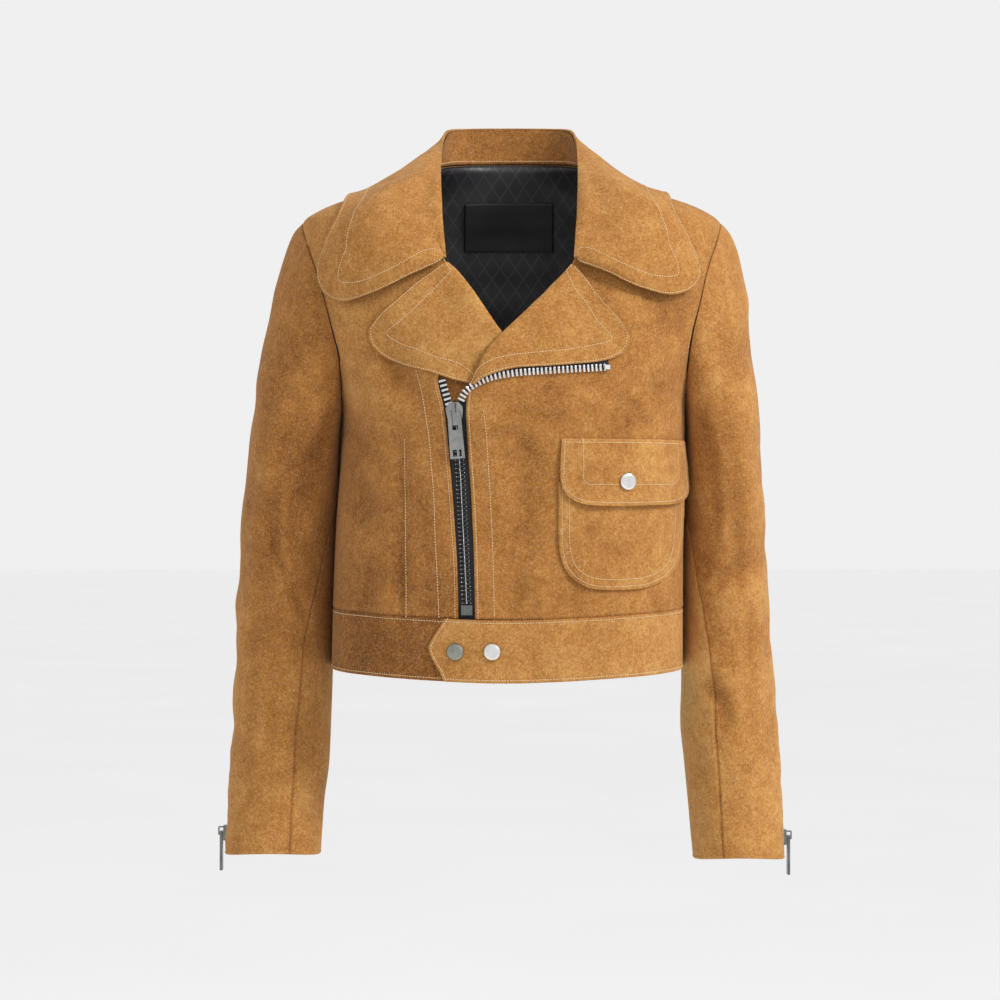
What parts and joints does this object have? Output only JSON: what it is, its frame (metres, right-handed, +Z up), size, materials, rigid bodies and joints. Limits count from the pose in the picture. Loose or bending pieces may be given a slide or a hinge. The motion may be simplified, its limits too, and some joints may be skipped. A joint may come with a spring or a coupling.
{
  "type": "suede jacket",
  "caption": "Cropped suede jacket shaped as worn: slanted front zip, wide lapels and collar, sleeves with cuff zips, a flap pocket and a snapped waistband tab",
  "frame": {"origin": "the middle of the shoulders, between the tops of the two armholes, on the wearer's middle plane", "axes": "X to the right as seen from the front (the wearer's left), Y from the front to the back, Z up"},
  "size_m": [0.5278, 0.239, 0.6981],
  "materials": {
    "suede": "matte suede nap",
    "lining": "smooth woven lining",
    "zip_tape": "woven tape",
    "steel": "bright to satin"
  },
  "bodies": {
    "jacket": {"front_left": "suede", "front_right": "suede", "back_panel": "suede", "lining_back": "lining", "neck_label": "lining", "band_left": "suede", "band_right": "suede", "band_back": "suede", "tape_left": "zip_tape", "tape_right": "zip_tape", "fly_guard": "suede", "lapel_left": "suede", "lapel_right": "suede", "lapel_tape": "zip_tape", "collar": "suede", "collar_stand": "suede", "top_sleeve_left": "suede", "under_sleeve_left": "suede", "cuff_tape_left": "zip_tape", "top_sleeve_right": "suede", "under_sleeve_right": "suede", "cuff_tape_right": "zip_tape", "pocket": "suede", "pocket_flap": "suede", "snap_tab_1": "steel", "snap_tab_2": "steel", "snap_pocket": "steel", "zip_box": "steel", "top_stop": "steel", "front_slider": "steel", "cuff_slider_left": "steel", "cuff_slider_right": "steel"},
    "front_pull_tab": {"front_pull": "steel"},
    "cuff_pull_tab_left": {"cuff_pull_left": "steel"},
    "cuff_pull_tab_right": {"cuff_pull_right": "steel"}
  },
  "joints": [
    {"name": "front_pull_swing", "type": "hinge", "parent": "jacket", "child": "front_pull_tab", "pos_m": [-0.04743, -0.12307, -0.19751], "axis": [-0.985, 0.1535, -0.0792], "range_deg": [0, 120]},
    {"name": "cuff_pull_left_swing", "type": "hinge", "parent": "jacket", "child": "cuff_pull_tab_left", "pos_m": [-0.26382, 0.00222, -0.58121], "axis": [0, 1, 0], "range_deg": [0, 150]},
    {"name": "cuff_pull_right_swing", "type": "hinge", "parent": "jacket", "child": "cuff_pull_tab_right", "pos_m": [0.258, 0.00139, -0.58515], "axis": [0, -1, 0], "range_deg": [0, 150]}
  ]
}
